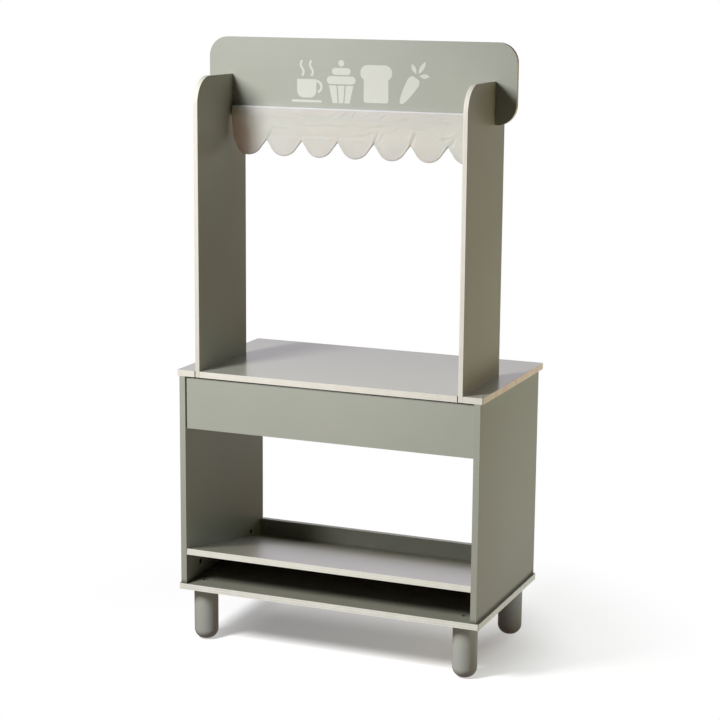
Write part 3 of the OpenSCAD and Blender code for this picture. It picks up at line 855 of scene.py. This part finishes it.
def pocket_path():
    """Places and outward directions up the pocket's front, over its top and round below it."""
    half = CLOTH_T / 2
    low = (pocket_low.y + half, pocket_low.z + half)
    high = (pocket_high.y - half, pocket_high.z - half)
    r = POCKET_ROUND
    corners = (((low[0] + r, high[1] - r), 180), ((high[0] - r, high[1] - r), 90),
               ((high[0] - r, low[1] + r), 0))
    path = [((low[0], low[1] + (high[1] - r - low[1]) * k / POCKET_STEPS), (-1, 0))
            for k in range(POCKET_STEPS)]
    for (y, z), start in corners:
        for k in range(POCKET_STEPS + 1):
            angle = math.radians(start - 90 * k / POCKET_STEPS)
            out = (math.cos(angle), math.sin(angle))
            path.append(((y + r * out[0], z + r * out[1]), out))
    path.append(((low[0] + CLOTH_T, low[1]), (0, -1)))
    return path


def pocket_lift(x, z):
    """How far the pocket's cloth stands out, with the puckers that the seam draws into it."""
    height = (z - pocket_low.z) / (pocket_high.z - pocket_low.z)
    arch = math.sin(math.pi * clamp(height))
    pucker = ripple(x, z, *POCKET_PUCKERS) * (1 - height) ** 2
    waves = POCKET_WAVE_MM * ripple(x, z, *POCKET_WAVES)
    tape = TAPE_T if z > pocket_high.z - TAPE_W else 0
    fold = wrinkles(x, z) * arch
    return (BULGE_MM * arch + PUCKER_MM * pucker + waves) * MM + fold + tape - pinch(x, z)


def pinch(x, z):
    """How deep the seam draws the cloth in, with a pucker at each stitch."""
    slow, quick = ripple(x, 0, *SEAM_SLOW), ripple(x, 0, *SEAM_QUICK)
    uneven = PINCH_EVEN + PINCH_SLOW * slow + PINCH_QUICK * quick
    return PINCH_D * bump(z - pocket_low.z, PINCH_W) * uneven


def cloth_column(x, path):
    """Places, outward directions and thicknesses of the cloth at width x, from the hem up."""
    offset = scallop_offset(x)
    fall = flap_h + edge_fall(offset)
    roll = HEM_ROLL * edge_lean(offset)
    column = []
    for j in range(FLAP_ROWS):
        if j < HEM_ROWS:
            turned = math.pi / 2 * j / HEM_ROWS
            rise = roll * (1 - math.cos(turned))
            thick = max(HEM_LIP, HEM_T * math.sin(turned))
        else:
            rise = roll + (fall - roll) * (j - HEM_ROWS) / (FLAP_ROWS - HEM_ROWS)
            thick = CLOTH_T + (HEM_T - CLOTH_T) * bump(rise - roll, HEM_W)
        s = 1 - rise / fall
        z = flap_top - s * fall
        y = flap_y - swing(x, s, z) + pinch(x, z)
        column.append(((x + draw_in(x, s), y, z), FORWARD, thick))
    for (y, z), out in path:
        lift = pocket_lift(x, z)
        column.append(((x, y + out[0] * lift, z + out[1] * lift), (0, *out), CLOTH_T))
    return column


def make_valance(outside, pocket, inside, tape, shaded_rim):
    """The sewn sheet, front and back with a rim all round, in its five finishes."""
    columns = SCALLOPS * SCALLOP_COLUMNS
    path = pocket_path()
    row = FLAP_ROWS + len(path)
    fronts, backs = [], []
    for i in range(columns + 1):
        for place, out, thick in cloth_column(pocket_low.x + valance_w * i / columns, path):
            fronts.append(Vector(place) + Vector(out) * thick / 2)
            backs.append(Vector(place) - Vector(out) * thick / 2)
    sheet = len(fronts)
    faces, made_of = [], []
    for i in range(columns):
        for j in range(row - 1):
            a, b = i * row + j, (i + 1) * row + j
            faces.append((a, b, b + 1, a + 1))
            # The rim and the first turned rows of the hem take the dark edge colour, painted shade
            above = pocket if j >= FLAP_ROWS else outside if j >= HEM_TURNED else shaded_rim
            # The pocket's top takes the white tape, partly a painted highlight
            made_of.append(tape if fronts[a].z > pocket_high.z - TAPE_W else above)
            faces.append((a + 1 + sheet, b + 1 + sheet, b + sheet, a + sheet))
            made_of.append(inside)
        for j, flip in ((0, False), (row - 1, True)):
            a, b = i * row + j, (i + 1) * row + j
            rim = (a, a + sheet, b + sheet, b)
            faces.append(rim[::-1] if flip else rim)
            made_of.append(shaded_rim)
    for j in range(row - 1):
        for i, flip in ((0, True), (columns, False)):
            a = i * row + j
            rim = (a, a + sheet, a + 1 + sheet, a + 1)
            faces.append(rim[::-1] if flip else rim)
            made_of.append(shaded_rim)
    piece = new_piece("valance", fronts + backs, faces, outside)
    kinds = [outside, pocket, inside, tape, shaded_rim]
    for extra in kinds[1:]:
        piece.data.materials.append(extra)
    for polygon, kind in zip(piece.data.polygons, made_of):
        polygon.material_index = kinds.index(kind)
    return piece


thread = cotton_thread("cotton_thread")
valance = make_valance(canvas("canvas", THIN_OUTSIDE, CANVAS_GLOW, FLAP_BRIGHT),
                       canvas("canvas_pocket", 0.0, CANVAS_SHEER),
                       canvas("canvas_inside", THIN_INSIDE, CANVAS_SHEER),
                       tape_and_highlight("tape_and_highlight"), painted_shade_hem("painted_shade_hem"))
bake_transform(valance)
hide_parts("valance_pocket", "valance_flap")

STITCH_L = 2.4 * MM
STITCH_PITCH = 3.2 * MM
STITCH_R = 0.32 * MM
STITCH_SIDES, STITCH_RINGS = 6, 5
STITCH_RAISED = 0.5
SWELL_FROM, SWELL_SPAN = 0.12, 0.76
SEAM_RISE = 1.2 * MM
BAR_STITCHES = 7
BAR_L = 4 * STITCH_L / 3
BAR_INSET = 1.5 * MM
BAR_PITCH = 0.5 * MM
BAR_RISE = 2.2 * MM


def stitch(points, faces, middle, along, length):
    """One raised stitch: a short bead that dips into the cloth at both ends."""
    start = len(points)
    sides, rings = STITCH_SIDES, STITCH_RINGS
    along = Vector(along)
    lift = Vector(FORWARD)
    across = along.cross(lift)
    for k in range(rings):
        t = k / (rings - 1)
        swell = math.sin(math.pi * (SWELL_FROM + SWELL_SPAN * t))
        raised = lift * STITCH_R * STITCH_RAISED * swell
        centre = Vector(middle) + along * length * (t - 0.5) + raised
        for m in range(sides):
            angle = 2 * math.pi * m / sides
            spoke = across * math.cos(angle) + lift * math.sin(angle)
            points.append(centre + STITCH_R * swell * spoke)
    for k in range(rings - 1):
        for m in range(sides):
            a, b = start + k * sides + m, start + k * sides + (m + 1) % sides
            faces.append((a, b, b + sides, a + sides))
    faces.append(tuple(start + m for m in reversed(range(sides))))
    faces.append(tuple(start + (rings - 1) * sides + m for m in range(sides)))


def make_seam(material):
    """The row of stitches under the pocket, with a bar of close stitches at each end."""
    points, faces = [], []
    count = math.floor((valance_w - 2 * STITCH_PITCH) / STITCH_PITCH)
    z = pocket_low.z + SEAM_RISE
    for k in range(count + 1):
        x = (k - count / 2) * STITCH_PITCH
        front = pocket_low.y - pocket_lift(x, z)
        stitch(points, faces, (x, front, z), RIGHT, STITCH_L)
    for side in (-1, 1):
        for k in range(BAR_STITCHES):
            x = side * (valance_w / 2 - BAR_INSET - BAR_PITCH * k)
            front = pocket_low.y - pocket_lift(x, z)
            stitch(points, faces, (x, front, z + BAR_RISE), UP, BAR_L)
    return new_piece("valance_seam", points, faces, material)


seam = make_seam(thread)
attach(seam, "sign")

AREA_STEPS = 100
scallop_area = scallop_w * flap_h + 2 * sum(
    edge_fall(scallop_w / 2 * (k + 0.5) / AREA_STEPS) * scallop_w / (2 * AREA_STEPS)
    for k in range(AREA_STEPS))
pocket_round = 2 * (pocket_high.y - pocket_low.y + pocket_high.z - pocket_low.z)
flat_area = SCALLOPS * scallop_area + pocket_round * valance_w


# Pictograms on the sign; their outlines are in shares of the print's height, about its middle

PRINT_FILM = 0.15 * MM
CELL_W = 72 * MM
PRINT_H = 88 * MM
PRINT_DROP = 5 * MM
LEAF_STEPS = 14


def turn(points, angle, centre):
    cos, sin = math.cos(angle), math.sin(angle)
    return [(centre[0] + cos * x - sin * y, centre[1] + sin * x + cos * y) for x, y in points]


def arc(centre, r, start, end, steps=16):
    """Points on an arc, with angles in degrees."""
    angles = [math.radians(start + (end - start) * k / steps) for k in range(steps + 1)]
    return [(centre[0] + r * math.cos(a), centre[1] + r * math.sin(a)) for a in angles]


def leaf(centre, length, width, angle):
    """A lens shape that starts at centre and points along angle."""
    upper = [(length * k / LEAF_STEPS, width / 2 * math.sin(math.pi * k / LEAF_STEPS))
             for k in range(LEAF_STEPS + 1)]
    lower = [(x, -y) for x, y in reversed(upper[1:-1])]
    return turn(upper + lower, math.radians(angle), centre)


def strip(line, width):
    """A band of even width along a line of points."""
    left, right = [], []
    for k, here in enumerate(line):
        before, after = line[max(0, k - 1)], line[min(len(line) - 1, k + 1)]
        dx, dy = after[0] - before[0], after[1] - before[1]
        size = math.hypot(dx, dy)
        side = (-dy / size * width / 2, dx / size * width / 2)
        left.append((here[0] + side[0], here[1] + side[1]))
        right.append((here[0] - side[0], here[1] - side[1]))
    return left + right[::-1]


def bar(low, high, half):
    """A bar with round ends, from low to high and half as wide to each side."""
    r = (high - low) / 2
    middle = (high + low) / 2
    return arc((half - r, middle), r, -90, 90) + arc((r - half, middle), r, 90, 270)


def cup():
    """A steaming cup on its saucer."""
    half, low, high, r = 0.23, -0.36, 0.04, 0.15
    body = [(-half, high)] + arc((r - half, low + r), r, 180, 270)
    body += arc((half - r, low + r), r, 270, 360) + [(half, high)]
    handle = strip(arc((half, low + 0.24), 0.12, -72, 90), 0.055)
    saucer = bar(-0.46, -0.41, 0.36)
    steam = []
    for x in (-0.11, 0.11):
        curl = [(x + 0.035 * math.sin(math.pi * k / 6), high + 0.07 + 0.028 * k)
                for k in range(13)]
        steam.append(strip(curl, 0.05))
    return [body, handle, saucer] + steam


def cupcake():
    """A fluted case, two rolls of icing and a berry."""
    low, high, gap = -0.46, -0.08, 0.014
    foot, brim = (-0.20, -0.066, 0.066, 0.20), (-0.29, -0.096, 0.096, 0.29)
    case = []
    for k in range(3):
        left, right = (gap if k else 0), (gap if k < 2 else 0)
        case.append([(foot[k] + left, low), (foot[k + 1] - right, low),
                     (brim[k + 1] - right, high), (brim[k] + left, high)])
    berry = arc((0, 0.40), 0.07, 0, 345, 23)
    return case + [bar(-0.05, 0.12, 0.34), bar(0.15, 0.30, 0.22), berry]


def bread():
    """A slice of bread with a round crown."""
    outline = arc((-0.23, -0.37), 0.06, 180, 270) + arc((0.23, -0.37), 0.06, 270, 360)
    outline += arc((0.20, 0.21), 0.17, -60, 90) + arc((-0.20, 0.21), 0.17, 90, 240)
    return [outline]


def carrot():
    """A carrot that leans, with three leaves."""
    length, half, steps = 0.66, 0.15, 28
    side = [(length * k / steps,
             half * math.sqrt(max(0, 1 - (k / steps) ** 1.6)) * min(1, 0.6 + 3 * k / steps))
            for k in range(steps + 1)]
    outline = side + [(x, -y) for x, y in reversed(side[:-1])]
    shapes = [turn(outline, math.radians(238), (0.10, 0.13))]
    start = 0.05
    for angle, size in ((0, 0.24), (58, 0.32), (116, 0.24)):
        along = math.radians(angle)
        root = (0.125 + start * math.cos(along), 0.17 + start * math.sin(along))
        shapes.append(leaf(root, size, 0.095, angle))
    return shapes


def anticlockwise(outline):
    """The outline, turned round if it runs clockwise."""
    area = sum(x * b - a * y for (x, y), (a, b) in zip(outline, outline[1:] + outline[:1]))
    return outline if area > 0 else outline[::-1]


def make_print(material):
    """A thin film of paint in the shape of each pictogram, on the face of the sign."""
    low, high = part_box("sign_board")
    middle_z = (low.z + high.z) / 2 - PRINT_DROP
    pictograms = (cup(), cupcake(), bread(), carrot())
    points, faces = [], []
    for k, shapes in enumerate(pictograms):
        middle_x = (k - (len(pictograms) - 1) / 2) * CELL_W
        for shape in shapes:
            outline = [(middle_x + x * PRINT_H, middle_z + z * PRINT_H)
                       for x, z in anticlockwise(shape)]
            count = len(outline)
            under = range(len(points), len(points) + count)
            film = range(under.stop, under.stop + count)
            for y in (low.y, low.y - PRINT_FILM):
                points.extend((x, y, z) for x, z in outline)
            faces += [tuple(film), tuple(reversed(under))]
            for m in range(count):
                after = (m + 1) % count
                faces.append((under[m], under[after], film[after], film[m]))
    return new_piece("sign_print", points, faces, material, smooth=False)


sign_print = make_print(print_paint("print_paint"))
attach(sign_print, "sign")


# Floor, light and camera

PLAIN_WHITE = (1, 1, 1)
FLOOR_W = 60.0
FLOOR_BOUNCE = 0.22
FLOOR_SEEN = 1.12
FRONT_EDGE = (-0.27, -0.17)
LIFT_FRONT = (0.235, 0.232, 0.24)
# Painted light on the floor under the stall, lighter towards the back
PAINTED_LIGHT_BENEATH = (0.505, 0.50, 0.505)
BENEATH_FROM = (0.0, 0.16)
BENEATH_SIDE = (0.2, 0.27)
FADE_NEAR = (0.18, 0.45)
FADE_FAR = (0.35, 0.74)
FADE_SHARE = 0.78
FADE_RIGHT = 0.022
RIGHT_FROM = (0.1, 0.3)
RIGHT_BACK = (0.03, 0.18)
NEAR_FROM, NEAR_TO = (0.3, 0.45), (1.2, 1.5)
FAR_FROM, FAR_TO = (0.55, 0.75), (1.9, 2.3)
SWEEP_REACH = (1.0, 2.0)
SWEEP_SIDE = (0.1, 0.5)
SWEEP_BRIGHT = (1.22, 1.16, 1.24)
LIT_FRONT = (0.25, 0.22, 0.145)
LIT_BESIDE = (0.66, 0.76, 0.87)
LIT_FAR = (1.22, 1.36, 1.18)
BEHIND_LOW = (0.285, 0.16, 0.14)
BEHIND_HIGH = (0.655, 0.63, 0.61)
BEHIND_MIDDLE = (1.0, 0.96, 1.19)
BEHIND_FROM = (0.3, 0.75)
MIDDLE_RISE = (0.08, 0.22)
STUDIO_DARK = (0.02, 0.02, 0.02)
AMBIENT = (0.01, 0.01, 0.008)


def white_floor():
    """A white floor that keeps the shadow near the stall and turns to plain white away from it.

    Glossy rays see a bright sweep behind, and diffuse rays a dull floor with three lit zones.
    """
    finish = Finish("white_floor")
    place = finish.place()
    across, back = place.part("X"), place.part("Y")
    reach = (across ** 2 + back ** 2) ** 0.5
    front = 1 - back.step(*FRONT_EDGE)
    dull = finish.shader("ShaderNodeBsdfDiffuse", {"Color": (FLOOR_BOUNCE,) * 3})
    beside = (1 - front) * across.step(*NEAR_FROM) * (1 - reach.step(*NEAR_TO))
    far = (1 - front) * across.step(*FAR_FROM) * (1 - reach.step(*FAR_TO))
    before = front * (1 - reach.step(*NEAR_TO))
    for zone, light in ((before, LIT_FRONT), (beside, LIT_BESIDE), (far, LIT_FAR)):
        lit_zone = finish.glow(zone.choose((0, 0, 0), light))
        dull = finish.node("ShaderNodeAddShader", {}, {0: dull, 1: lit_zone})
    sweep = reach.step(*SWEEP_REACH) * (1 - across.step(*SWEEP_SIDE))
    mirrored = finish.glow(sweep.choose(BEHIND_LOW, SWEEP_BRIGHT))
    matt = finish.shader("ShaderNodeBsdfDiffuse", {"Color": (FLOOR_SEEN,) * 3})
    # Painted light: the floor under the stall is lifted lighter towards the back, as if light
    # reached in from behind
    light_pool_beneath = back.step(*BENEATH_FROM) * (1 - abs(across).step(*BENEATH_SIDE))
    lift = finish.glow(light_pool_beneath.choose(LIFT_FRONT, PAINTED_LIGHT_BENEATH))
    white = finish.glow(PLAIN_WHITE)
    lit = finish.node("ShaderNodeAddShader", {}, {0: matt, 1: lift})
    right_front = across.step(*RIGHT_FROM) * (1 - back.step(*RIGHT_BACK))
    shaded = ((across - FADE_RIGHT * right_front) ** 2 + back ** 2) ** 0.5
    near, wide = 1 - shaded.step(*FADE_NEAR), 1 - shaded.step(*FADE_FAR)
    kept = FADE_SHARE * near + (1 - FADE_SHARE) * wide
    seen = finish.mix(kept, white, lit)
    unseen = finish.mix(finish.ray("Is Glossy Ray"), dull, mirrored)
    finish.end(finish.mix(finish.ray("Is Camera Ray"), unseen, seen))
    return finish.material


half_floor = FLOOR_W / 2
corners = [(x * half_floor, y * half_floor, 0) for x, y in ((-1, -1), (1, -1), (1, 1), (-1, 1))]
floor_white = white_floor()
floor_white.cycles.emission_sampling = "NONE"
floor = new_piece("floor", corners, [(0, 1, 2, 3)], floor_white, smooth=False)

world = bpy.data.worlds.new("studio")
bpy.context.scene.world = world
world.use_nodes = True
world.cycles.sampling_method = "NONE"
studio = Finish("studio", world.node_tree)
way = studio.node("ShaderNodeTexCoord", {}, {}, "Generated")
wall = way.part("Z").step(*MIDDLE_RISE).choose(BEHIND_MIDDLE, BEHIND_HIGH)
behind = way.part("Y").step(*BEHIND_FROM)
mirrored = studio.shader("ShaderNodeBackground", {"Color": behind.choose(STUDIO_DARK, wall)})
fill = studio.shader("ShaderNodeBackground", {"Color": AMBIENT})
backdrop = studio.shader("ShaderNodeBackground", {"Color": PLAIN_WHITE})
unseen = studio.mix(studio.ray("Is Glossy Ray"), fill, mirrored)
seen = studio.ray("Is Camera Ray", "Is Transmission Ray")
studio.end(studio.mix(seen, unseen, backdrop), "ShaderNodeOutputWorld")


def lamp(name, place, aim, width, height, power, spread, tint=PLAIN_WHITE):
    """A rectangular lamp that points from place to aim; spread is in degrees."""
    data = bpy.data.lights.new(name, "AREA")
    data.shape = "RECTANGLE"
    data.size = width
    data.size_y = height
    data.energy = power
    data.spread = math.radians(spread)
    data.color = tint
    made = add_object(name, data)
    made.location = place
    made.rotation_euler = (Vector(aim) - Vector(place)).to_track_quat("-Z", "Y").to_euler()
    return made


lamp("key", place=(-0.80, -1.417, 1.726), aim=(0.6, -0.14, -0.15),
     width=0.38, height=0.8, power=22.5, spread=115)
back_right = lamp("back_right", place=(0.95, 2.2, 0.5), aim=(0.85, 0, 0.45),
                  width=1.0, height=1.0, power=5.25, spread=62, tint=(0.86, 1, 0.81))
right_wall = lamp("right_wall", place=(2.4, 0.1, 0.9), aim=(0, 0, 0.6),
                  width=1.2, height=1.4, power=3.2, spread=150, tint=(1, 0.59, 0.02))
for soft in (back_right, right_wall):
    soft.visible_glossy = False

CAMERA_PLACE = (1.44077, -3.48211, 1.31646)
CAMERA_YAW, CAMERA_PITCH, CAMERA_ROLL = 22.5528, 11.2720, 0.4714
FOCAL_PX, IMAGE_PX, SENSOR = 1950.50, 720, 36.0
lens = bpy.data.cameras.new("camera")
lens.sensor_width = SENSOR
lens.lens = FOCAL_PX / IMAGE_PX * SENSOR
camera = add_object("camera", lens)
camera.matrix_world = (
    Matrix.Translation(CAMERA_PLACE)
    @ Matrix.Rotation(math.radians(CAMERA_YAW), 4, "Z")
    @ Matrix.Rotation(math.radians(90 - CAMERA_PITCH), 4, "X")
    @ Matrix.Rotation(math.radians(CAMERA_ROLL), 4, "Z")
)
bpy.context.scene.camera = camera
bpy.context.scene.view_settings.view_transform = "Standard"
